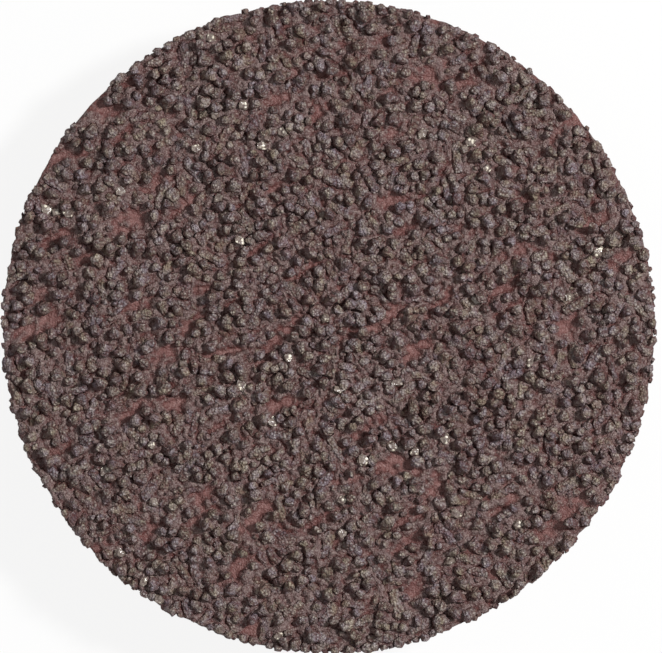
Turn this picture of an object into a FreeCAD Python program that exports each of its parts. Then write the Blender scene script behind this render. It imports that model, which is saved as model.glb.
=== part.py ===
"""A 2 inch, 24 grit quick-change abrasive carving disc, in millimetres.

Rod-shaped ceramic grains stand in two coats of resin on a cloth disc. A stiffener ply is laminated
to the back of the cloth, and a moulded nylon stud is glued to the middle of the stiffener. The stud
screws into the back-up pad of a small angle grinder, and the pad bears on the stiffener's back.

The origin is the centre of the back face. +Z points from the tool towards the work.
"""

import FreeCAD, Part
import math
import os
import random

Vec = FreeCAD.Vector

# The disc: layers from the back face up.
disc_diameter = 50.8
stiffener_thickness = 0.50
laminate_thickness = 0.06
cloth_thickness = 0.45
make_coat_thickness = 0.10
size_coat_thickness = 0.12

# The stud: a flange glued to the back, and a threaded post that ends in a plain nose.
flange_diameter = 19.0
flange_rim_thickness = 0.60
flange_hub_thickness = 1.15
flange_hub_diameter = 13.0
flange_rim_chamfer = 0.18
root_diameter = 8.4
root_cove = 0.30
thread_diameter = 11.0
thread_pitch = 2.2
thread_turns = 1.1
thread_root_width = 1.45
thread_crest_width = 0.75
thread_sink = 0.30
nose_diameter = 8.0
nose_length = 1.3
nose_chamfer = 0.45
core_hole_diameter = 3.0
core_hole_depth = 3.2
core_hole_chamfer = 0.25
glue_thickness = 0.12
glue_margin = 0.6
glue_pocket_depth = 0.05

# The grains: sizes as (smallest, largest).
rod_diameters = (0.50, 0.76)
chip_diameters = (0.30, 0.58)
crystal_diameters = (0.46, 0.66)
lying_lengths = (1.10, 2.40)
lying_lifts = (0.35, 0.75)
lying_tapers = (0.72, 1.0)
leaning_lengths = (0.95, 1.65)
leaning_angles = (34.0, 62.0)
standing_heights = (0.60, 1.05)
standing_angles = (64.0, 88.0)
chip_heights = (0.24, 0.60)
crystal_heights = (0.55, 0.90)
roughness = (0.86, 1.0)
end_slant = 0.24
rod_sides = 6
chip_sides = 5
lying_sides = 6
edge_overhang = 0.30
grain_gap = 0.012

# How many places are tried for each kind of grain, for each square centimetre of the disc.
crystals_per_cm2 = 2.6
lying_tries = 60
leaning_tries = 420
standing_tries = 2200
chip_tries = 5200

# Bare streaks, where the resin was wiped clear of grain as the cloth ran through the coater.
streaks_per_cm2 = 4.4
streak_lengths = (0.9, 2.9)
streak_widths = (0.50, 1.05)
streak_heading = 34.0
streak_heading_spread = 14.0

grid_pitch = 0.8
sector_count = 12
random_seed = 2417

# Heights that follow from the layers.
disc_radius = disc_diameter / 2
laminate_base = stiffener_thickness
cloth_base = laminate_base + laminate_thickness
make_coat_base = cloth_base + cloth_thickness
size_coat_base = make_coat_base + make_coat_thickness
grain_base = size_coat_base + size_coat_thickness
flange_top = glue_pocket_depth - glue_thickness
flange_rim_base = flange_top - flange_rim_thickness
flange_hub_base = flange_top - flange_hub_thickness
thread_height = thread_pitch * thread_turns + thread_root_width
thread_base = flange_hub_base - root_cove - thread_height
nose_base = thread_base - nose_length


def save(node, *solids):
    """One node's solids as one STEP file."""
    shape = solids[0] if len(solids) == 1 else Part.makeCompound(list(solids))
    shape.exportStep(f"parts/{node}.step")
    print(f"{node}: {len(solids)} solid(s), {sum(s.Volume for s in solids):.2f} mm3")


def layer(base, thickness):
    """One flat disc of the laminate."""
    return Part.makeCylinder(disc_radius, thickness, Vec(0, 0, base))


def turned(*outline):
    """The solid of revolution of an outline of (radius, height) points."""
    points = [Vec(radius, 0, height) for radius, height in outline]
    face = Part.Face(Part.makePolygon(points + points[:1]))
    return face.revolve(Vec(0, 0, 0), Vec(0, 0, 1), 360)


# ---- layers ---------------------------------------------------------------------------------------


def make_stiffener():
    """The back ply, with the shallow pocket that the hot glue presses into it."""
    pocket = Part.makeCylinder(flange_diameter / 2 + glue_margin, glue_pocket_depth)
    return layer(0, stiffener_thickness).cut(pocket)


def make_glue():
    """The glue under the flange: it fills the pocket and stands a little proud of it."""
    return Part.makeCylinder(
        flange_diameter / 2 + glue_margin, glue_thickness, Vec(0, 0, flange_top)
    )


# ---- stud -----------------------------------------------------------------------------------------


def make_thread():
    """The coarse right-hand thread as a swept ridge, sunk into the post so that the two fuse."""
    inner = root_diameter / 2 - thread_sink
    outer = thread_diameter / 2
    middle = thread_base + thread_root_width / 2
    half_root = thread_root_width / 2
    half_crest = thread_crest_width / 2
    helix = Part.makeHelix(thread_pitch, thread_pitch * thread_turns, root_diameter / 2)
    helix.translate(Vec(0, 0, middle))
    outline = [
        Vec(inner, 0, middle - half_root),
        Vec(outer, 0, middle - half_crest),
        Vec(outer, 0, middle + half_crest),
        Vec(inner, 0, middle + half_root),
    ]
    profile = Part.makePolygon(outline + outline[:1])
    ridge = Part.Wire(helix).makePipeShell([profile], True, True)
    return ridge if ridge.Volume > 0 else ridge.reversed()


def make_stud():
    """The nylon stud: flange, post, thread, chamfered nose and a core hole that keeps the walls even."""
    root = root_diameter / 2
    nose = nose_diameter / 2
    rim = flange_diameter / 2
    core = core_hole_diameter / 2
    body = turned(
        (0, flange_top),
        (rim, flange_top),
        (rim, flange_rim_base + flange_rim_chamfer),
        (rim - flange_rim_chamfer, flange_rim_base),
        (flange_hub_diameter / 2, flange_hub_base),
        (root + root_cove, flange_hub_base),
        (root, flange_hub_base - root_cove),
        (root, thread_base),
        (nose, thread_base - (root - nose)),
        (nose, nose_base + nose_chamfer),
        (nose - nose_chamfer, nose_base),
        (core + core_hole_chamfer, nose_base),
        (core, nose_base + core_hole_chamfer),
        (core, nose_base + core_hole_depth),
        (0, nose_base + core_hole_depth),
    )
    return body.fuse(make_thread()).removeSplitter()


# ---- grains ---------------------------------------------------------------------------------------


class Room:
    """The room a grain takes up: all that lies within a radius of the line from start to end."""

    def __init__(self, start, end, radius):
        self.start = start
        self.end = end
        self.radius = radius

    def cells(self):
        """The squares of a fine grid that the room may stand over."""
        columns, rows = (
            range(
                math.floor((min(ends) - self.radius) / grid_pitch),
                math.floor((max(ends) + self.radius) / grid_pitch) + 1,
            )
            for ends in ((self.start.x, self.end.x), (self.start.y, self.end.y))
        )
        return [(column, row) for column in columns for row in rows]

    def distance_to(self, other):
        """The least distance between the centre lines of two rooms."""
        first, second = self.end - self.start, other.end - other.start
        apart = self.start - other.start
        a, b, c = first.dot(first), first.dot(second), second.dot(second)
        d, e = first.dot(apart), second.dot(apart)
        spread = a * c - b * b
        s = min(1.0, max(0.0, (b * e - c * d) / spread)) if spread > 1e-9 else 0.0
        t = (b * s + e) / c
        if not 0 <= t <= 1:
            t = min(1.0, max(0.0, t))
            s = min(1.0, max(0.0, (b * t - d) / a))
        return (apart + first * s - second * t).Length


class Bed:
    """The face of the disc as it fills up with grains, which never overlap."""

    def __init__(self):
        self.squares = {}

    def fitted(self, room, smallest):
        """The room, narrowed until it is clear of all others, or None if that is too narrow."""
        furthest = max(math.hypot(end.x, end.y) for end in (room.start, room.end))
        radius = min(room.radius, disc_radius + edge_overhang - furthest)
        seen = set()
        for square in room.cells():
            for placed in self.squares.get(square, ()):
                if placed in seen:
                    continue
                seen.add(placed)
                radius = min(radius, room.distance_to(placed) - placed.radius - grain_gap)
                if radius < smallest:
                    return None
        return Room(room.start, room.end, radius) if radius >= smallest else None

    def add(self, room):
        for square in room.cells():
            self.squares.setdefault(square, []).append(room)


def ring(count, radius, rng):
    """A rough outline around a rod's axis: (angle, distance) pairs, none beyond the radius."""
    turn = rng.uniform(0, math.tau)
    step = math.tau / count
    return [
        (turn + step * (i + rng.uniform(-0.16, 0.16)), radius * rng.uniform(*roughness))
        for i in range(count)
    ]


def meet(start, end, point, normal):
    """Where the line through two points meets a plane."""
    line = end - start
    return start + line * ((point - start).dot(normal) / line.dot(normal))


def flat_sided(lower, upper):
    """The solid between two matching outlines whose sides are all flat."""
    count = len(lower)
    faces = [Part.Face(Part.makePolygon(p + p[:1])) for p in (lower, upper)]
    for i in range(count):
        j = (i + 1) % count
        side = [lower[i], lower[j], upper[j], upper[i]]
        faces.append(Part.Face(Part.makePolygon(side + side[:1])))
    solid = Part.Solid(Part.Shell(faces))
    return solid if solid.Volume > 0 else solid.reversed()


def broken_end(axis, rng):
    """The normal of a rod's snapped end, a little off its axis."""
    off = Vec(*(rng.uniform(-end_slant, end_slant) for _ in range(3)))
    return (axis + off).normalize()


def rising_grain(foot, axis, length, radius, sides, rng):
    """A rod that leans or stands in the resin, from the size coat up to its snapped end."""
    across = axis.cross(Vec(0, 0, 1)).normalize()
    over = axis.cross(across)
    end_normal = broken_end(axis, rng)
    lower, upper = [], []
    for angle, distance in ring(sides, radius, rng):
        line = foot + across * (distance * math.cos(angle)) + over * (distance * math.sin(angle))
        lower.append(meet(line, line + axis, foot, Vec(0, 0, 1)))
        upper.append(meet(line, line + axis, foot + axis * length, end_normal))
    return flat_sided(lower, upper)


def lying_grain(near, far, radius, lift, rng):
    """A rod that lies on the resin, sunk by part of its thickness, narrower at its far end."""
    along = (far - near).normalize()
    across = Vec(-along.y, along.x, 0)
    taper = rng.uniform(*lying_tapers)
    first = -math.asin(lift / radius)
    near_end, far_end = broken_end(along, rng), broken_end(along, rng)
    lower, upper = [], []
    for i in range(lying_sides):
        angle = first + (math.pi - 2 * first) * i / (lying_sides - 1)
        on_resin = i in (0, lying_sides - 1)
        distance = radius * (1.0 if on_resin else rng.uniform(*roughness))
        height = 0.0 if on_resin else lift + distance * math.sin(angle)
        section = Vec(0, 0, height) + across * (distance * math.cos(angle))
        start, end = near + section, far + section * taper
        lower.append(meet(start, end, near, near_end))
        upper.append(meet(start, end, far, far_end))
    return flat_sided(lower, upper)


def count_for(per_cm2):
    """A number of grains or tries that follows the disc's area."""
    return round(per_cm2 * math.pi * disc_radius**2 / 100)


def somewhere(rng):
    """A random point on the size coat."""
    radius = (disc_radius + edge_overhang) * math.sqrt(rng.random())
    angle = rng.uniform(0, math.tau)
    return Vec(radius * math.cos(angle), radius * math.sin(angle), grain_base)


def towards(heading, lean=0.0):
    """The direction of a compass heading, raised by a lean."""
    return Vec(
        math.cos(lean) * math.cos(heading),
        math.cos(lean) * math.sin(heading),
        math.sin(lean),
    )


def lay_streaks(bed, rng):
    """Keeps the bare streaks clear of grain."""
    for _ in range(count_for(streaks_per_cm2)):
        start = somewhere(rng)
        heading = math.radians(rng.gauss(streak_heading, streak_heading_spread))
        end = start + towards(heading) * rng.uniform(*streak_lengths)
        bed.add(Room(start, end, rng.uniform(*streak_widths) / 2))


def lay_lying_rods(bed, grains, rng):
    """Rods that fell flat in the coat."""
    smallest, largest = (diameter / 2 for diameter in rod_diameters)
    for _ in range(count_for(lying_tries)):
        near = somewhere(rng)
        far = near + towards(rng.uniform(0, math.tau)) * rng.uniform(*lying_lengths)
        lift = smallest * rng.uniform(*lying_lifts)
        raised = Vec(0, 0, lift)
        room = bed.fitted(Room(near + raised, far + raised, largest), smallest)
        if room:
            bed.add(room)
            grains.append(lying_grain(near, far, room.radius, lift, rng))


def lay_rising_rods(bed, grains, rng, attempts, angles, lengths, diameters, sides):
    """Rods at a steep angle. lengths is how far they reach out of the resin along their own axis."""
    smallest, largest = (diameter / 2 for diameter in diameters)
    for _ in range(attempts):
        foot = somewhere(rng)
        lean = math.radians(rng.uniform(*angles))
        axis = towards(rng.uniform(0, math.tau), lean)
        length = rng.uniform(*lengths)
        root = foot - axis * (largest / math.tan(lean))
        room = bed.fitted(Room(root, foot + axis * length, largest), smallest)
        if room:
            bed.add(room)
            grains.append(rising_grain(foot, axis, length, room.radius, sides, rng))


def make_grains():
    """Every grain on the disc: the ceramic rods and chips, and the pale crystals among them."""
    rng = random.Random(random_seed)
    bed = Bed()
    rods, crystals = [], []
    lay_streaks(bed, rng)
    lay_rising_rods(
        bed, crystals, rng, count_for(crystals_per_cm2),
        standing_angles, crystal_heights, crystal_diameters, chip_sides,
    )
    lay_lying_rods(bed, rods, rng)
    lay_rising_rods(
        bed, rods, rng, count_for(leaning_tries),
        leaning_angles, leaning_lengths, rod_diameters, rod_sides,
    )
    lay_rising_rods(
        bed, rods, rng, count_for(standing_tries),
        standing_angles, standing_heights, rod_diameters, rod_sides,
    )
    lay_rising_rods(
        bed, rods, rng, count_for(chip_tries),
        standing_angles, chip_heights, chip_diameters, chip_sides,
    )
    return rods, crystals


def sector_of(grain):
    """Which sector of the face a grain stands in, counted anticlockwise from +X."""
    centre = grain.BoundBox.Center
    turn = math.atan2(centre.y, centre.x) % math.tau
    return int(turn / math.tau * sector_count)


def build():
    os.makedirs("parts", exist_ok=True)
    save("stiffener_ply", make_stiffener())
    save("laminating_adhesive", layer(laminate_base, laminate_thickness))
    save("face_cloth", layer(cloth_base, cloth_thickness))
    save("make_coat", layer(make_coat_base, make_coat_thickness))
    save("size_coat", layer(size_coat_base, size_coat_thickness))
    save("stud_glue", make_glue())
    save("quick_change_stud", make_stud())
    rods, crystals = make_grains()
    save("crystal_grains", *crystals)
    for sector in range(sector_count):
        members = [rod for rod in rods if sector_of(rod) == sector]
        save(f"ceramic_grains_{sector + 1:02d}", *members)
    print(f"{len(rods)} ceramic grains and {len(crystals)} crystals")


build()
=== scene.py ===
import math
import random

import bmesh
import bpy
from mathutils import Matrix, Vector, bvhtree, kdtree, noise


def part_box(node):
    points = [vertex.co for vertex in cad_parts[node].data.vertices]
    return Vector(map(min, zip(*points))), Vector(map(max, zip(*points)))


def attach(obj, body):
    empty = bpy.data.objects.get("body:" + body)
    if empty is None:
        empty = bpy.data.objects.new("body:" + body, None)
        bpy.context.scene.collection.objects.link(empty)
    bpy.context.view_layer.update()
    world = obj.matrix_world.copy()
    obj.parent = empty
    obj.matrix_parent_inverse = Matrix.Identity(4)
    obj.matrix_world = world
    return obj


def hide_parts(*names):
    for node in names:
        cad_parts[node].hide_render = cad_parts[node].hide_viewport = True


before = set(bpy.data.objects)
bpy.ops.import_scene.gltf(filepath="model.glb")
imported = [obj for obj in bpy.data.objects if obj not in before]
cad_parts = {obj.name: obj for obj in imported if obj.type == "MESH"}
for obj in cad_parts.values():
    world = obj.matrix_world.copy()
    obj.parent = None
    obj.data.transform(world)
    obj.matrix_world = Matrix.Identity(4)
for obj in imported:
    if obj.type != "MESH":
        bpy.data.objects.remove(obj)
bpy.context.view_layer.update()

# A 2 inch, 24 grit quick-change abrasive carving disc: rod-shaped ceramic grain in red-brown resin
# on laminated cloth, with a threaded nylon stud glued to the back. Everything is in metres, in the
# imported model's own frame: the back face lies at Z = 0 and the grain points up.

# ---- Camera -------------------------------------------------------------------------------------
# It looks straight down on the grain, from far enough away that the rods at the rim don't lean out.

mm = 0.001
camera_height = 600 * mm
shown_width = 51.74 * mm
camera_offset = Vector((0.19 * mm, 0.02 * mm, 0))

camera_data = bpy.data.cameras.new("camera")
camera_data.sensor_width = 36
subject_distance = camera_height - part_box("size_coat")[1][2]
camera_data.lens = camera_data.sensor_width * subject_distance / shown_width
camera_data.clip_start = 10 * mm
camera_data.clip_end = 20
camera = bpy.data.objects.new("camera", camera_data)
camera.location = camera_offset + Vector((0, 0, camera_height))
bpy.context.scene.collection.objects.link(camera)
bpy.context.scene.camera = camera
bpy.context.scene.view_settings.view_transform = "Standard"

# ---- Stiffener ply ------------------------------------------------------------------------------
# The back of the disc: a plain-weave cotton and polyester cloth, filled with tan resin and die-cut.
# The flange's hot glue presses a shallow round pocket into it.

disc_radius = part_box("stiffener_ply")[1][0]
stiffener_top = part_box("stiffener_ply")[1][2]
pocket_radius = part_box("stud_glue")[1][0]
pocket_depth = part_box("stud_glue")[1][2]
pocket_corner = 0.02 * mm
ply_yarn_pitch = 0.52 * mm
yarn_wander = 0.35 * mm
weave_depth = 0.07 * mm
ply_burr = 0.03 * mm
rim_steps = 288
rim_band = 0.2 * mm
ruffle_size = 0.9 * mm
fine_ruffle_size = 0.3 * mm
die_round = 0.02 * mm
die_taper = 0.005 * mm
die_drag = 0.03 * mm
weld = 1e-3 * mm


def node(tree, kind, inputs=None, **settings):
    """Adds a shader node. An input takes a number, a colour, or the output it is linked from."""
    made = tree.nodes.new(kind)
    for name, value in settings.items():
        setattr(made, name, value)
    for name, value in (inputs or {}).items():
        if isinstance(value, bpy.types.NodeSocket):
            tree.links.new(value, made.inputs[name])
        else:
            made.inputs[name].default_value = value
    return made


def math_node(tree, operation, first, second=0.0, third=0.0):
    """One step of arithmetic in a shader."""
    inputs = {0: first, 1: second, 2: third}
    return node(tree, "ShaderNodeMath", inputs, operation=operation).outputs[0]


def between(tree, value, low, high, start=0.0, end=1.0):
    """Runs evenly from start to end as a value goes from low to high, and stops there."""
    return node(tree, "ShaderNodeMapRange", {
        "Value": value, "From Min": low, "From Max": high, "To Min": start, "To Max": end,
    }).outputs[0]


def cloudy(tree, place, scale, detail, roughness=0.5):
    """Cloudy noise, with this many clouds to the metre."""
    return node(tree, "ShaderNodeTexNoise", {
        "Vector": place, "Scale": scale, "Detail": detail, "Roughness": roughness,
    }).outputs["Fac"]


def colours(tree, factor, *stops):
    """A colour ramp through (place, colour) stops."""
    ramp = node(tree, "ShaderNodeValToRGB", {"Fac": factor})
    band = ramp.color_ramp
    while len(band.elements) < len(stops):
        band.elements.new(1.0)
    for element, (place, colour) in zip(band.elements, stops):
        element.position = place
        element.color = (*colour, 1)
    return ramp.outputs["Color"]


def blend(tree, factor, first, second, how="MIX"):
    """One colour mixed with another."""
    first, second = ((*c, 1) if isinstance(c, tuple) else c for c in (first, second))
    inputs = {0: factor, 6: first, 7: second}
    made = node(tree, "ShaderNodeMix", inputs, data_type="RGBA", blend_type=how)
    return made.outputs[2]


def coat(tree, mask, amount, under, over):
    """Lays one colour over another where a mask says, this much at the most."""
    return blend(tree, math_node(tree, "MULTIPLY", mask, amount), under, over)


def emboss(tree, shader, height, depth):
    """Raises the surface's fine relief."""
    relief = node(tree, "ShaderNodeBump", {"Height": height, "Distance": depth})
    tree.links.new(relief.outputs["Normal"], shader.inputs["Normal"])


def new_finish(name, **sockets):
    """A new material with its Principled BSDF, whose plain values are set on its own sockets, and
    the place on the object that its patterns follow."""
    material = bpy.data.materials.new(name)
    material.use_nodes = True
    tree = material.node_tree
    shader = tree.nodes["Principled BSDF"]
    for socket, value in sockets.items():
        title = socket.replace("_", " ").title().replace("Ior", "IOR")
        shader.inputs[title].default_value = value
    place = node(tree, "ShaderNodeTexCoord").outputs["Object"]
    return material, tree, shader, place


def new_group(name, inputs, outputs):
    """A shader group with named number inputs, each with its usual value, and named outputs."""
    group = bpy.data.node_groups.new(name, "ShaderNodeTree")
    kind = "NodeSocketFloat"
    for title, value in inputs.items():
        socket = group.interface.new_socket(title, in_out="INPUT", socket_type=kind)
        socket.default_value = value
    for title in outputs:
        group.interface.new_socket(title, in_out="OUTPUT", socket_type=kind)
    given = group.nodes.new("NodeGroupInput").outputs
    out = group.nodes.new("NodeGroupOutput").inputs
    return group, given, out, node(group, "ShaderNodeTexCoord").outputs["Object"]


def use_group(tree, group, **values):
    """Places a shader group in a material with values of its own."""
    made = node(tree, "ShaderNodeGroup", node_tree=group)
    for title, value in values.items():
        made.inputs[title.replace("_", " ").capitalize()].default_value = value
    return made.outputs


def make_piece(name, shape, material, stands_for, smooth=True):
    """Turns a finished bmesh into a piece that rides with the disc, in place of a CAD node."""
    mesh = bpy.data.meshes.new(name)
    shape.to_mesh(mesh)
    shape.free()
    mesh.materials.append(material)
    mesh.polygons.foreach_set("use_smooth", [smooth] * len(mesh.polygons))
    piece = bpy.data.objects.new(name, mesh)
    bpy.context.scene.collection.objects.link(piece)
    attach(piece, "root")
    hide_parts(stands_for)


def turn_profile(shape, points, steps=rim_steps):
    """Spins a run of (radius, height) points once round the disc's axis, and closes its poles."""
    verts = [shape.verts.new((radius, 0, height)) for radius, height in points]
    edges = [shape.edges.new(pair) for pair in zip(verts, verts[1:])]
    bmesh.ops.spin(
        shape, geom=verts + edges, cent=(0, 0, 0), axis=(0, 0, 1),
        angle=math.tau, steps=steps, use_merge=True,
    )
    bmesh.ops.remove_doubles(shape, verts=shape.verts, dist=weld)
    bmesh.ops.recalc_face_normals(shape, faces=shape.faces)


def ply_outline(low, high):
    """A die-cut edge's run of points: sharp below, and dragged down a little along the top."""
    return [
        (disc_radius - die_round, low),
        (disc_radius, low + die_round),
        (disc_radius, (low + high) / 2),
        (disc_radius - die_taper, high - die_round),
        (disc_radius - die_drag, high),
    ]


def bumps(place, size):
    """Smooth noise between about -1 and 1, in bumps of about this size."""
    return noise.noise(place * (1 / size))


def ruffle_edge(shape, amount):
    """Makes the cut edge a little uneven, as the die leaves it."""
    for vert in shape.verts:
        radius = vert.co.xy.length
        if radius > disc_radius - rim_band:
            uneven = bumps(vert.co, ruffle_size) + 0.5 * bumps(vert.co, fine_ruffle_size)
            vert.co.xy *= 1 + amount * uneven / radius


woven, given, out, place = new_group(
    "woven cloth", {"Yarn pitch": 0.5 * mm, "Fuzz": 0.3}, ("Height", "Yarn shade", "Valley shade")
)
wander = node(woven, "ShaderNodeTexNoise", {"Vector": place, "Scale": 420.0, "Detail": 2.0})
wander_by = node(
    woven, "ShaderNodeVectorMath",
    {0: wander.outputs["Color"], 1: (0.5, 0.5, 0.5)}, operation="SUBTRACT",
)
wander_far = node(
    woven, "ShaderNodeVectorMath",
    {0: wander_by.outputs[0], "Scale": yarn_wander}, operation="SCALE",
)
shifted = node(
    woven, "ShaderNodeVectorMath", {0: place, 1: wander_far.outputs[0]}, operation="ADD"
)
apart = node(woven, "ShaderNodeSeparateXYZ", {0: shifted.outputs[0]})
across = math_node(woven, "DIVIDE", apart.outputs["X"], given["Yarn pitch"])
along = math_node(woven, "DIVIDE", apart.outputs["Y"], given["Yarn pitch"])


def yarn(run, cross, phase):
    """The height of one set of yarns, which dips under every other yarn of the set it crosses."""
    half_turns = math_node(woven, "MULTIPLY", run, math.pi)
    round_top = math_node(woven, "ABSOLUTE", math_node(woven, "SINE", half_turns))
    which = math_node(woven, "MULTIPLY", math_node(woven, "FLOOR", run), math.pi)
    travel = math_node(woven, "MULTIPLY_ADD", cross, math.pi, which)
    dip = math_node(woven, "SINE", math_node(woven, "ADD", travel, phase))
    lift = math_node(woven, "MULTIPLY_ADD", dip, 0.38, 0.62)
    return math_node(woven, "MULTIPLY", round_top, lift)


warp, weft = yarn(across, along, 0.0), yarn(along, across, math.pi)
over = math_node(woven, "MAXIMUM", warp, weft)
fuzzy = math_node(woven, "MULTIPLY", cloudy(woven, place, 16000.0, 3.0), given["Fuzz"])
woven.links.new(math_node(woven, "ADD", over, fuzzy), out["Height"])
woven.links.new(math_node(woven, "GREATER_THAN", warp, weft), out["Yarn shade"])
# Valley shade is painted shade: how deep a point lies between the yarns, used to darken the cloth
# there.
woven.links.new(math_node(woven, "SUBTRACT", 1.0, over), out["Valley shade"])

ply_finish, tree, shader, place = new_finish(
    "stiffener cloth", roughness=0.8, specular_ior_level=0.35
)
weave = use_group(tree, woven, yarn_pitch=ply_yarn_pitch, fuzz=0.35)
stain = cloudy(tree, place, 160.0, 5.0, 0.6)
tan = colours(tree, stain, (0.3, (0.245, 0.135, 0.085)), (0.7, (0.375, 0.225, 0.150)))
tan = coat(tree, weave["Yarn shade"], 0.22, tan, (0.46, 0.30, 0.21))
# Painted shade: the weave's valleys are darkened nearly to black.
tan = coat(tree, weave["Valley shade"], 0.85, tan, (0.10, 0.050, 0.032))
tree.links.new(tan, shader.inputs["Base Color"])
emboss(tree, shader, weave["Height"], weave_depth)

shape = bmesh.new()
turn_profile(shape, [
    (0, pocket_depth),
    (pocket_radius - pocket_corner, pocket_depth),
    (pocket_radius, pocket_depth - pocket_corner),
    (pocket_radius + 0.03 * mm, 0),
    (pocket_radius + 0.4 * mm, 0),
    (disc_radius * 0.75, 0),
    (disc_radius - 0.5 * mm, 0),
    *ply_outline(0, stiffener_top),
    (0, stiffener_top),
])
ruffle_edge(shape, ply_burr)
make_piece("stiffener_cloth_ply", shape, ply_finish, "stiffener_ply")

# ---- Laminating adhesive ------------------------------------------------------------------------
# The thin amber film that joins the two plies. It shows as a line round the cut edge, where the die
# smeared it.

film_low, film_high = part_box("laminating_adhesive")[0][2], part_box("laminating_adhesive")[1][2]
film_squeeze = 0.05 * mm
film_relief = 0.03 * mm
film_smear = 0.05 * mm

film_finish, tree, shader, place = new_finish("laminating film", roughness=0.35, ior=1.5)
smear = cloudy(tree, place, 900.0, 4.0)
amber = colours(tree, smear, (0.3, (0.16, 0.075, 0.035)), (0.7, (0.36, 0.20, 0.11)))
tree.links.new(amber, shader.inputs["Base Color"])
emboss(tree, shader, smear, film_relief)

film_rim = disc_radius - 0.01 * mm
shape = bmesh.new()
turn_profile(shape, [
    (0, film_low),
    (film_rim - film_squeeze, film_low),
    (film_rim, (film_low + film_high) / 2),
    (film_rim - film_squeeze, film_high),
    (0, film_high),
])
ruffle_edge(shape, film_smear)
make_piece("laminating_film", shape, film_finish, "laminating_adhesive")

# ---- Face cloth ---------------------------------------------------------------------------------
# The heavy polyester cloth that carries the grain. Only its cut edge shows: yarn ends in rows, with
# resin between them.

cloth_low, cloth_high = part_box("face_cloth")[0][2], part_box("face_cloth")[1][2]
cloth_yarn_pitch = 0.42 * mm
yarn_end_size = 0.24 * mm
yarn_end_relief = 0.06 * mm
cloth_fray = 0.05 * mm

cloth_finish, tree, shader, place = new_finish(
    "face cloth", roughness=0.85, specular_ior_level=0.3
)
weave = use_group(tree, woven, yarn_pitch=cloth_yarn_pitch, fuzz=0.5)
ends = node(
    tree, "ShaderNodeTexVoronoi", {"Vector": place, "Scale": 1 / yarn_end_size, "Randomness": 0.7}
).outputs["Distance"]
stain = cloudy(tree, place, 300.0, 4.0)
thread = colours(tree, stain, (0.3, (0.27, 0.17, 0.12)), (0.7, (0.46, 0.33, 0.25)))
# Painted shade in the weave's valleys.
thread = coat(tree, weave["Valley shade"], 0.6, thread, (0.13, 0.07, 0.05))
gap = math_node(tree, "SMOOTH_MIN", math_node(tree, "MULTIPLY", ends, 1.6), 1.0, 0.2)
thread = blend(tree, gap, thread, (0.15, 0.08, 0.055))
tree.links.new(thread, shader.inputs["Base Color"])
emboss(tree, shader, math_node(tree, "SUBTRACT", weave["Height"], ends), yarn_end_relief)

shape = bmesh.new()
turn_profile(shape, [(0, cloth_low), *ply_outline(cloth_low, cloth_high), (0, cloth_high)])
ruffle_edge(shape, cloth_fray)
make_piece("face_cloth_ply", shape, cloth_finish, "face_cloth")

# ---- Make coat ----------------------------------------------------------------------------------
# The first coat of phenolic resin, which the grain is dropped into. It cures almost black, and its
# edge chips a little under the die.

make_low, make_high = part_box("make_coat")[0][2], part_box("make_coat")[1][2]
make_chip_size = 0.3 * mm
make_relief = 0.08 * mm
make_chipping = 0.09 * mm

make_finish, tree, shader, place = new_finish("make resin", roughness=0.4, ior=1.55)
chips = node(
    tree, "ShaderNodeTexVoronoi", {"Vector": place, "Scale": 1 / make_chip_size},
    feature="SMOOTH_F1",
).outputs["Distance"]
dark = colours(tree, chips, (0.0, (0.16, 0.075, 0.06)), (0.6, (0.05, 0.024, 0.02)))
tree.links.new(dark, shader.inputs["Base Color"])
emboss(tree, shader, chips, make_relief)

shape = bmesh.new()
turn_profile(shape, [(0, make_low), *ply_outline(make_low, make_high), (0, make_high)])
ruffle_edge(shape, make_chipping)
make_piece("make_coat_layer", shape, make_finish, "make_coat")

# ---- Size coat ----------------------------------------------------------------------------------
# The top coat of red-brown resin, rolled on over the grain. It creeps up each grain's foot,
# crumbles between the grains, and lies bare in slanting streaks where the roller dragged them apart.

size_low, size_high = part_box("size_coat")[0][2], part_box("size_coat")[1][2]
grain_nodes = sorted(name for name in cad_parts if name.startswith("ceramic_grains"))
foot_level = size_high + 0.01 * mm
resin_rings = 150
resin_steps = 600
creep_height = 0.36 * mm
creep_reach = 0.24 * mm
bare_from = 0.22 * mm
bare_to = 0.48 * mm
crumb_size = 0.50 * mm
crumb_height = 0.50 * mm
crumb_cover = 0.30
swell_height = 0.05 * mm
swell_length = 2.4 * mm
swell_width = 0.5 * mm
resin_lumps = ((0.24 * mm, 0.33 * mm), (0.10 * mm, 0.2 * mm))
streak_turn = math.radians(34)
crest_from = 0.06 * mm
crest_to = 0.40 * mm
drift_size = 1.4 * mm
resin_granule = 0.17 * mm
resin_relief = 0.07 * mm
resin_chipping = 0.12 * mm

feet = [
    vert.co.copy()
    for name in [*grain_nodes, "crystal_grains"]
    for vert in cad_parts[name].data.vertices
    if vert.co.z < foot_level
]
foot_tree = kdtree.KDTree(len(feet))
for index, foot in enumerate(feet):
    foot_tree.insert(foot, index)
foot_tree.balance()


def bareness_at(place):
    """How bare the resin lies: 1 in the middle of a streak, 0 among the grains and under crumbs."""
    open_ground = (foot_tree.find(place)[2] - bare_from) / (bare_to - bare_from)
    crumbs = (crumb_cover - bumps(place, crumb_size)) / crumb_cover
    return min(1.0, max(0.0, open_ground)) * min(1.0, max(0.0, crumbs))


def resin_lift(place, bare):
    """How far the cured resin stands above its mean level."""
    across = Matrix.Rotation(-streak_turn, 3, "Z") @ place
    dragged = Vector((across.x / swell_length, across.y / swell_width, 0))
    swell = swell_height * noise.noise(dragged)
    crumbs = crumb_height * max(0.0, bumps(place, crumb_size))
    lumps = sum(height * bumps(place, size) for height, size in resin_lumps)
    distance = foot_tree.find(place)[2]
    creep = creep_height * math.exp(-((distance / creep_reach) ** 2))
    return swell + crumbs + lumps * (1 - 0.5 * bare) + creep


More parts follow.
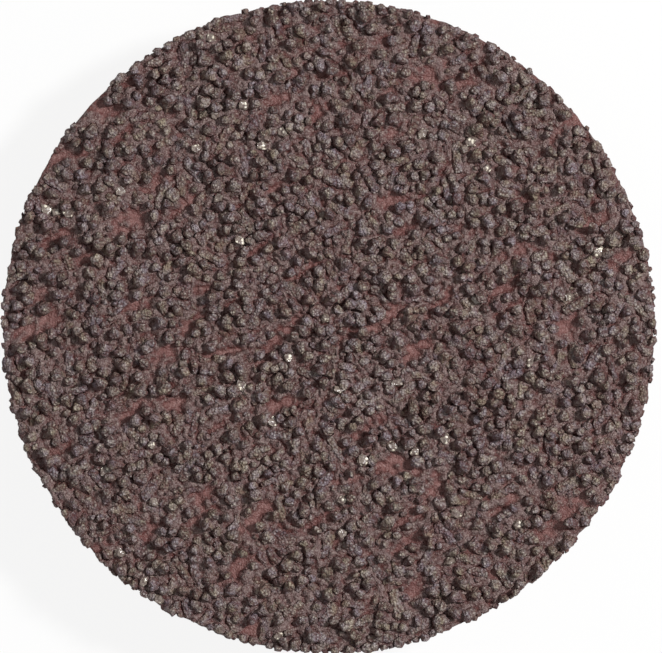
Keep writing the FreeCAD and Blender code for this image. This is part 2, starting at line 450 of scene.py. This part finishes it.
crust, given, out, place = new_group(
    "resin crust", {"Granule": 0.2 * mm}, ("Height", "Fleck", "Pit shade", "Smear", "Warmth")
)
finer = math_node(crust, "DIVIDE", 1.0, given["Granule"])
granules = node(
    crust, "ShaderNodeTexVoronoi", {"Vector": place, "Scale": finer, "Randomness": 1.0}
)
dust = cloudy(crust, place, math_node(crust, "MULTIPLY", finer, 1.7), 3.0, 0.7)
broad = cloudy(crust, place, math_node(crust, "MULTIPLY", finer, 0.45), 2.0)
drift = cloudy(crust, place, 1 / drift_size, 4.0, 0.7)
dragged = node(
    crust, "ShaderNodeMapping",
    {"Vector": place, "Rotation": (0, 0, -streak_turn), "Scale": (1, 2.6, 1)},
)
smear = cloudy(crust, dragged.outputs[0], 210.0, 3.0)
dome = math_node(crust, "SUBTRACT", 1.0, granules.outputs["Distance"])
height = math_node(crust, "MULTIPLY_ADD", dust, 0.6, dome)
lucky = node(crust, "ShaderNodeSeparateXYZ", {0: granules.outputs["Color"]}).outputs["X"]
bright = between(crust, lucky, 0.60, 0.90)
# The pit shade is painted shade: it is strongest in the hollows between granules and where the broad
# relief is low, as the bump makes them.
hollow = math_node(
    crust, "ADD", granules.outputs["Distance"], math_node(crust, "SUBTRACT", 0.5, broad)
)
for title, value in (
    ("Height", math_node(crust, "MULTIPLY_ADD", broad, 1.6, height)),
    ("Fleck", math_node(crust, "MULTIPLY", bright, dome)),
    ("Pit shade", between(crust, hollow, 0.46, 0.80)),
    ("Smear", between(crust, smear, 0.54, 0.72)),
    ("Warmth", between(crust, drift, 0.36, 0.64)),
):
    crust.links.new(value, out[title])

size_finish, tree, shader, place = new_finish(
    "size resin", roughness=0.42, ior=1.55, specular_ior_level=0.28
)
crusty = use_group(tree, crust, granule=resin_granule)
turned_place = node(
    tree, "ShaderNodeMapping",
    {"Vector": place, "Rotation": (0, 0, -streak_turn), "Scale": (1, 4, 1)},
)
red = colours(
    tree, cloudy(tree, turned_place.outputs[0], 420.0, 5.0, 0.65),
    (0.30, (0.110, 0.040, 0.036)), (0.52, (0.180, 0.080, 0.072)), (0.72, (0.255, 0.140, 0.127)),
)
level = node(tree, "ShaderNodeSeparateXYZ", {0: place}).outputs["Z"]
# Lower down between the grains the crusted resin is darker and redder: partly the thicker red resin
# there, partly painted shade in the gaps.
crest = between(tree, level, size_high + crest_from, size_high + crest_to)
crusted = blend(tree, crest, (0.096, 0.025, 0.022), (0.160, 0.107, 0.101))
crusted = coat(tree, crusty["Fleck"], 0.7, crusted, (0.34, 0.265, 0.235))
# Painted shade in the hollows between the resin's granules.
crusted = coat(tree, crusty["Pit shade"], 0.7, crusted, (0.050, 0.012, 0.010))
bare = node(tree, "ShaderNodeAttribute", attribute_name="bare").outputs["Fac"]
tree.links.new(blend(tree, bare, crusted, red), shader.inputs["Base Color"])
emboss(tree, shader, crusty["Height"], resin_relief)

shape = bmesh.new()
turn_profile(
    shape,
    [(disc_radius * i / resin_rings, size_high) for i in range(resin_rings + 1)],
    resin_steps,
)
rim = [edge for edge in shape.edges if edge.is_boundary]
drop = bmesh.ops.extrude_edge_only(shape, edges=rim)["geom"]
low_rim = [item for item in drop if isinstance(item, bmesh.types.BMVert)]
bmesh.ops.translate(shape, verts=low_rim, vec=(0, 0, size_low - size_high))
bareness = shape.verts.layers.float.new("bare")
for vert in shape.verts:
    if vert.co.z > size_high - weld:
        bare = bareness_at(vert.co)
        vert[bareness] = bare
        vert.co.z += resin_lift(vert.co, bare)
bmesh.ops.contextual_create(shape, geom=[edge for edge in shape.edges if edge.is_boundary])
ruffle_edge(shape, resin_chipping)
bmesh.ops.recalc_face_normals(shape, faces=shape.faces)
make_piece("size_coat_resin", shape, size_finish, "size_coat")

# ---- Ceramic grain ------------------------------------------------------------------------------
# Extruded and sintered alumina rods, snapped to length, with smaller chips between them. They stand
# and lie in the resin as they fell, in a crusty film of size coat with pale filler in it.

facet = 0.38 * mm
facet_passes = 3
grain_weld = 2e-3 * mm
sunk = 0.20 * mm
plump = 0.04 * mm
widest_crust = 0.13 * mm
crust_gap = 5e-3 * mm
crust_patch = 0.9 * mm
crust_least = 0.1
crust_usual = 1.1
crust_swing = 1.8
rounding = 0.3
lump_size = 0.48 * mm
lump_depth = 0.17 * mm
pit_size = 0.17 * mm
pit_depth = 0.06 * mm
sheared_from = disc_radius - 0.05 * mm
sheared = 0.32
clear_of_resin_and_shade = 0.55 * mm
deep_in_resin_and_shade = 0.05 * mm
grain_granule = 0.20 * mm
grain_relief = 0.19 * mm
grain_seed = 5

all_grains = bmesh.new()
for name in [*grain_nodes, "crystal_grains"]:
    all_grains.from_mesh(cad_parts[name].data)
neighbours = bvhtree.BVHTree.FromBMesh(all_grains)
all_grains.free()


def crust_on(vert):
    """How far the crust builds out from a grain, in patches: about half way to the next grain."""
    sideways = Vector((vert.normal.x, vert.normal.y, 0))
    start = vert.co + vert.normal * crust_gap
    room = neighbours.ray_cast(start, sideways, 2 * widest_crust)[3]
    reach = widest_crust if room is None else room / 2
    patchy = max(crust_least, crust_usual + crust_swing * bumps(vert.co, crust_patch))
    return sideways * reach * patchy + Vector((0, 0, plump * vert.normal.z))


def tone_grains(shape, rng):
    """Gives each separate grain one tone of its own."""
    tone = shape.verts.layers.float.new("tone")
    seen = set()
    for first in shape.verts:
        if first in seen:
            continue
        shade, island = rng.random(), [first]
        seen.add(first)
        while island:
            vert = island.pop()
            vert[tone] = shade
            for edge in vert.link_edges:
                other = edge.other_vert(vert)
                if other not in seen:
                    seen.add(other)
                    island.append(other)


def rough_grains(name, rng):
    """A copy of a CAD node's grains, rounded, crusted and pitted, and marked with how steep they
    are and with their tones."""
    shape = bmesh.new()
    shape.from_mesh(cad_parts[name].data)
    bmesh.ops.remove_doubles(shape, verts=shape.verts, dist=grain_weld)
    for vert in shape.verts:
        if vert.co.z < foot_level:
            vert.co.z -= sunk
    for _ in range(facet_passes):
        long_edges = [edge for edge in shape.edges if edge.calc_length() > facet]
        bmesh.ops.subdivide_edges(shape, edges=long_edges, cuts=1)
        bmesh.ops.triangulate(
            shape, faces=[face for face in shape.faces if len(face.verts) > 3],
            quad_method="SHORT_EDGE", ngon_method="EAR_CLIP",
        )
    shape.normal_update()
    crusts = [crust_on(vert) for vert in shape.verts]
    bmesh.ops.smooth_vert(
        shape, verts=shape.verts, factor=rounding, use_axis_x=True, use_axis_y=True, use_axis_z=True
    )
    for vert, grown in zip(shape.verts, crusts):
        lumps = noise.noise_vector(vert.co * (1 / lump_size)) * lump_depth
        pits = noise.noise_vector(vert.co * (1 / pit_size)) * pit_depth
        vert.co += grown + lumps + pits
        past_die = max(0, vert.co.xy.length - sheared_from)
        vert.co.xy *= 1 - sheared * past_die / vert.co.xy.length
    shape.normal_update()
    tone_grains(shape, rng)
    # The flank mark drives a darker, redder colour on the grains' steep sides: partly resin lying
    # thicker there, partly painted shade.
    flank = shape.verts.layers.float.new("flank")
    for vert in shape.verts:
        vert[flank] = 1 - max(0, vert.normal.z)
    return shape


grain_finish, tree, shader, place = new_finish("ceramic grain", ior=1.6, specular_ior_level=0.28)
crusty = use_group(tree, crust, granule=grain_granule)
grey = colours(
    tree, node(tree, "ShaderNodeAttribute", attribute_name="tone").outputs["Fac"],
    (0.0, (0.138, 0.105, 0.101)), (0.4, (0.193, 0.153, 0.147)),
    (0.7, (0.214, 0.173, 0.162)), (1.0, (0.288, 0.238, 0.224)),
)
hue = blend(tree, crusty["Warmth"], (0.96, 0.965, 1.18), (1.04, 1.035, 0.79))
grey = blend(tree, 1.0, grey, hue, "MULTIPLY")
grey = coat(tree, crusty["Smear"], 0.4, grey, (0.205, 0.095, 0.085))
filler = blend(tree, crusty["Warmth"], (0.46, 0.41, 0.42), (0.53, 0.46, 0.36))
grey = coat(tree, crusty["Fleck"], 0.9, grey, filler)
# Painted shade in the hollows between the grain's granules.
grey = coat(tree, crusty["Pit shade"], 0.8, grey, (0.060, 0.018, 0.015))
flank = node(tree, "ShaderNodeAttribute", attribute_name="flank").outputs["Fac"]
# Steep sides darker and redder: partly thicker resin on the flanks, partly painted shade.
grey = blend(tree, between(tree, flank, 0.2, 0.9, end=0.85), grey, (0.120, 0.044, 0.040))
level = node(tree, "ShaderNodeSeparateXYZ", {0: place}).outputs["Z"]
# Darker and redder low down: partly the resin creeping up the grain, partly painted shade between
# the grains.
low = between(tree, level, size_high + clear_of_resin_and_shade, size_high + deep_in_resin_and_shade, end=0.95)
grey = blend(tree, low, grey, (0.098, 0.024, 0.021))
tree.links.new(grey, shader.inputs["Base Color"])
gloss = between(tree, crusty["Fleck"], 0.0, 1.0, start=0.58, end=0.25)
tree.links.new(gloss, shader.inputs["Roughness"])
emboss(tree, shader, crusty["Height"], grain_relief)

noise.seed_set(grain_seed)  # vector noise starts from the clock unless it is given a seed
rng = random.Random(grain_seed)
for name in grain_nodes:
    shape = rough_grains(name, rng)
    make_piece("rods_" + name[-2:], shape, grain_finish, name)

# ---- Crystal grain ------------------------------------------------------------------------------
# A few pale fused-alumina crystals blended in with the rods. Their broken faces are glassy where
# the size coat has run off them.

crystal_granule = 0.23 * mm
crystal_relief = 0.05 * mm

crystal_finish, tree, shader, _ = new_finish("crystal grain", ior=1.65)
crusty = use_group(tree, crust, granule=crystal_granule)
clean = between(tree, crusty["Fleck"], 0.26, 0.58)
pale = blend(tree, clean, (0.20, 0.155, 0.128), (0.85, 0.78, 0.64))
# Painted shade in the hollows between the crystal's granules.
pale = coat(tree, crusty["Pit shade"], 0.9, pale, (0.065, 0.035, 0.029))
tree.links.new(pale, shader.inputs["Base Color"])
gloss = between(tree, crusty["Pit shade"], 0.0, 1.0, start=0.2, end=0.6)
tree.links.new(gloss, shader.inputs["Roughness"])
emboss(tree, shader, crusty["Height"], crystal_relief)

shape = rough_grains("crystal_grains", rng)
make_piece("crystals", shape, crystal_finish, "crystal_grains", smooth=False)

# ---- Hot glue -----------------------------------------------------------------------------------
# Amber hot-melt glue between the stud's flange and the stiffener. It squeezed out into an uneven
# rounded bead.

glue_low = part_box("stud_glue")[0][2]
flange_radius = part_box("quick_change_stud")[1][0]
bead_low = glue_low - 0.10 * mm
bead_steps = 180
glue_top = pocket_depth - 0.005 * mm
glue_relief = 0.05 * mm
drips = 6
drip_depth = 0.05 * mm
ripple = 0.016
fine_ripple = 0.008

glue_finish, tree, shader, place = new_finish(
    "hot glue", roughness=0.28, ior=1.48, subsurface_weight=0.2, subsurface_scale=0.3 * mm,
    subsurface_radius=(1.0, 0.6, 0.3),
)
cloud = cloudy(tree, place, 500.0, 3.0)
amber = colours(tree, cloud, (0.3, (0.46, 0.33, 0.17)), (0.7, (0.62, 0.49, 0.30)))
tree.links.new(amber, shader.inputs["Base Color"])
emboss(tree, shader, cloud, glue_relief)

shape = bmesh.new()
turn_profile(shape, [
    (0, glue_low),
    (flange_radius - 0.05 * mm, glue_low),
    (flange_radius + 0.02 * mm, bead_low),
    (flange_radius + 0.16 * mm, bead_low - 0.02 * mm),
    (flange_radius + 0.34 * mm, bead_low + 0.03 * mm),
    (flange_radius + 0.50 * mm, glue_low + 0.03 * mm),
    (pocket_radius - 0.01 * mm, 0.01 * mm),
    (pocket_radius - 0.03 * mm, glue_top),
    (0, glue_top),
], bead_steps)
for vert in shape.verts:
    if vert.co.xy.length > flange_radius and vert.co.z < 0.02 * mm:
        turn = vert.co.normalized() * drips
        vert.co.xy *= 1 + ripple * noise.noise(turn) + fine_ripple * noise.noise(turn * 3)
        vert.co.z -= drip_depth * max(0, noise.noise(turn * 1.7))
make_piece("glue_bead", shape, glue_finish, "stud_glue")

# ---- Quick-change stud --------------------------------------------------------------------------
# One moulding in natural nylon: a domed flange, a coved post with a coarse thread that fades in and
# out, and a plain nose with a core hole. The gate left a small nub at the bottom of the hole.

stud_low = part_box("quick_change_stud")[0][2]
flange_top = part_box("quick_change_stud")[1][2]
flange_low = flange_top - 0.60 * mm
flange_corner = 0.06 * mm
flange_round = 0.2 * mm
hub_low = flange_top - 1.15 * mm
hub_radius = 6.5 * mm
post_radius = 4.2 * mm
post_cove = 0.35 * mm
thread_radius = 5.5 * mm
thread_inside = post_radius - 0.3 * mm
thread_pitch = 2.2 * mm
thread_turns = 1.1
thread_root = 1.45 * mm
thread_crest = 0.75 * mm
thread_steps = 96
fade_steps = 9
least_ridge = 0.05
nose_radius = 4.0 * mm
nose_top = stud_low + 1.3 * mm
nose_round = 0.4 * mm
core_radius = 1.5 * mm
core_top = stud_low + 3.2 * mm
core_lip = 0.2 * mm
core_round = 0.3 * mm
stud_steps = 144
nylon_relief = 0.012 * mm


def arc(centre_radius, centre_height, radius, start, end, steps=6):
    """A run of points round a moulded corner, from one angle to another in degrees."""
    turns = [math.radians(start + (end - start) * i / steps) for i in range(steps + 1)]
    return [
        (centre_radius + radius * math.cos(turn), centre_height + radius * math.sin(turn))
        for turn in turns
    ]


nylon_finish, tree, shader, place = new_finish(
    "natural nylon", roughness=0.42, ior=1.53, subsurface_weight=0.25, subsurface_scale=0.5 * mm,
    subsurface_radius=(1.0, 0.85, 0.65),
)
cloud = cloudy(tree, place, 260.0, 4.0)
milky = colours(tree, cloud, (0.3, (0.66, 0.61, 0.51)), (0.7, (0.80, 0.76, 0.67)))
scuff = cloudy(tree, place, 2600.0, 6.0, 0.7)
milky = blend(tree, between(tree, scuff, 0.56, 0.7, end=0.35), milky, (0.33, 0.27, 0.21))
tree.links.new(milky, shader.inputs["Base Color"])
turned_marks = node(
    tree, "ShaderNodeTexWave", {"Vector": place, "Scale": 900.0, "Distortion": 0.6},
    wave_type="RINGS", rings_direction="Z",
)
height = math_node(tree, "MULTIPLY_ADD", turned_marks.outputs["Fac"], 0.25, scuff)
emboss(tree, shader, height, nylon_relief)

shape = bmesh.new()
ridge = [
    shape.verts.new((radius, 0, nose_top + thread_root / 2 + height))
    for radius, height in (
        (thread_inside, -thread_root / 2),
        (post_radius + 0.12 * mm, -thread_root / 2 + 0.02 * mm),
        (thread_radius - 0.14 * mm, -thread_crest / 2 - 0.05 * mm),
        (thread_radius, -thread_crest / 2 + 0.10 * mm),
        (thread_radius, thread_crest / 2 - 0.10 * mm),
        (thread_radius - 0.14 * mm, thread_crest / 2 + 0.05 * mm),
        (post_radius + 0.12 * mm, thread_root / 2 - 0.02 * mm),
        (thread_inside, thread_root / 2),
    )
]
ring = [shape.edges.new((ridge[i - 1], ridge[i])) for i in range(len(ridge))]
bmesh.ops.spin(
    shape, geom=ridge + ring, cent=(0, 0, 0), axis=(0, 0, 1), angle=math.tau * thread_turns,
    steps=thread_steps, dvec=(0, 0, thread_pitch * thread_turns / thread_steps),
)
for index, vert in enumerate(shape.verts):
    step = index // len(ridge)
    from_end = min(1, step / fade_steps, (thread_steps - step) / fade_steps)
    kept = max(least_ridge, math.sin(math.pi / 2 * from_end))
    radius = vert.co.xy.length
    vert.co.xy *= (thread_inside + (radius - thread_inside) * kept) / radius
bmesh.ops.holes_fill(shape, edges=[edge for edge in shape.edges if edge.is_boundary])

turn_profile(shape, [
    (0, flange_top),
    (flange_radius - flange_corner, flange_top),
    (flange_radius, flange_top - flange_corner),
    *arc(flange_radius - flange_round, flange_low + flange_round, flange_round, 0, -80),
    (hub_radius + 0.5 * mm, hub_low + 0.10 * mm),
    (hub_radius - 0.1 * mm, hub_low),
    *arc(post_radius + post_cove, hub_low - post_cove, post_cove, 90, 180),
    (post_radius, nose_top),
    (nose_radius, nose_top - (post_radius - nose_radius)),
    *arc(nose_radius - nose_round, stud_low + nose_round, nose_round, 0, -90),
    *arc(core_radius + core_lip, stud_low + core_lip, core_lip, -90, -180),
    *arc(core_radius - core_round, core_top - core_round, core_round, 0, 90),
    (0.45 * mm, core_top),
    (0.35 * mm, core_top - 0.25 * mm),
    (0, core_top - 0.30 * mm),
], stud_steps)
make_piece("nylon_stud", shape, nylon_finish, "quick_change_stud")

# ---- Floor and light ----------------------------------------------------------------------------
# A pale floor just under the stud's nose, one soft key light from the right, a weak wide one from
# below for the back, and an even white room. From below, the floor is clear and lets light through.

floor_size = 1.2
floor_drop = 0.01 * mm
floor_grey = (0.8, 0.8, 0.8, 1)
floor_white = 0.88
key_turn = math.radians(20)
key_height = math.radians(50)
key_distance = 0.55
key_size = 0.09
key_power = 3.3
below_strength = 1.3
below_spread = math.radians(100)
room_light = 0.35


def white_to(tree, rays):
    """1 for the rays that find the room white: from the camera, off gloss, and through glass."""
    seen = math_node(tree, "MAXIMUM", rays["Is Camera Ray"], rays["Is Glossy Ray"])
    return math_node(tree, "MAXIMUM", seen, rays["Is Transmission Ray"])


def hang_lamp(name, kind, towards, distance, **settings):
    """Hangs a lamp that points at the disc."""
    lamp_data = bpy.data.lights.new(name, kind)
    for setting, value in settings.items():
        setattr(lamp_data, setting, value)
    lamp = bpy.data.objects.new(name, lamp_data)
    lamp.location = towards * distance
    lamp.rotation_euler = towards.to_track_quat("Z", "Y").to_euler()
    bpy.context.scene.collection.objects.link(lamp)


floor_finish, tree, shader, _ = new_finish("floor", base_color=floor_grey, roughness=0.9)
rays = node(tree, "ShaderNodeLightPath").outputs
whitened = math_node(tree, "MULTIPLY", white_to(tree, rays), floor_white)
white = node(tree, "ShaderNodeEmission", {"Color": (1, 1, 1, 1), "Strength": 1.0}).outputs[0]
shown = node(tree, "ShaderNodeMixShader", {0: whitened, 1: shader.outputs[0], 2: white}).outputs[0]
clear = math_node(tree, "MAXIMUM", rays["Is Diffuse Ray"], rays["Is Shadow Ray"])
behind = node(tree, "ShaderNodeNewGeometry").outputs["Backfacing"]
clear = math_node(tree, "MAXIMUM", clear, behind)
nothing = node(tree, "ShaderNodeBsdfTransparent").outputs[0]
shown = node(tree, "ShaderNodeMixShader", {0: clear, 1: shown, 2: nothing}).outputs[0]
tree.links.new(shown, tree.nodes["Material Output"].inputs["Surface"])

shape = bmesh.new()
bmesh.ops.create_grid(shape, x_segments=1, y_segments=1, size=floor_size / 2)
bmesh.ops.translate(shape, verts=shape.verts, vec=(0, 0, stud_low - floor_drop))
mesh = bpy.data.meshes.new("floor")
shape.to_mesh(mesh)
shape.free()
mesh.materials.append(floor_finish)
floor = bpy.data.objects.new("floor", mesh)
bpy.context.scene.collection.objects.link(floor)

towards_key = Vector((
    math.cos(key_height) * math.cos(key_turn),
    math.cos(key_height) * math.sin(key_turn),
    math.sin(key_height),
))
hang_lamp("key", "AREA", towards_key, key_distance, shape="DISK", size=key_size, energy=key_power)
hang_lamp("below", "SUN", Vector((0, 0, -1)), 0, angle=below_spread, energy=below_strength)

room = bpy.data.worlds.new("room")
room.use_nodes = True
tree = room.node_tree
backdrop = tree.nodes["Background"]
backdrop.inputs["Color"].default_value = (1, 1, 1, 1)
seen = white_to(tree, node(tree, "ShaderNodeLightPath").outputs)
strength = math_node(tree, "MULTIPLY_ADD", seen, 1 - room_light, room_light)
tree.links.new(strength, backdrop.inputs["Strength"])
bpy.context.scene.world = room
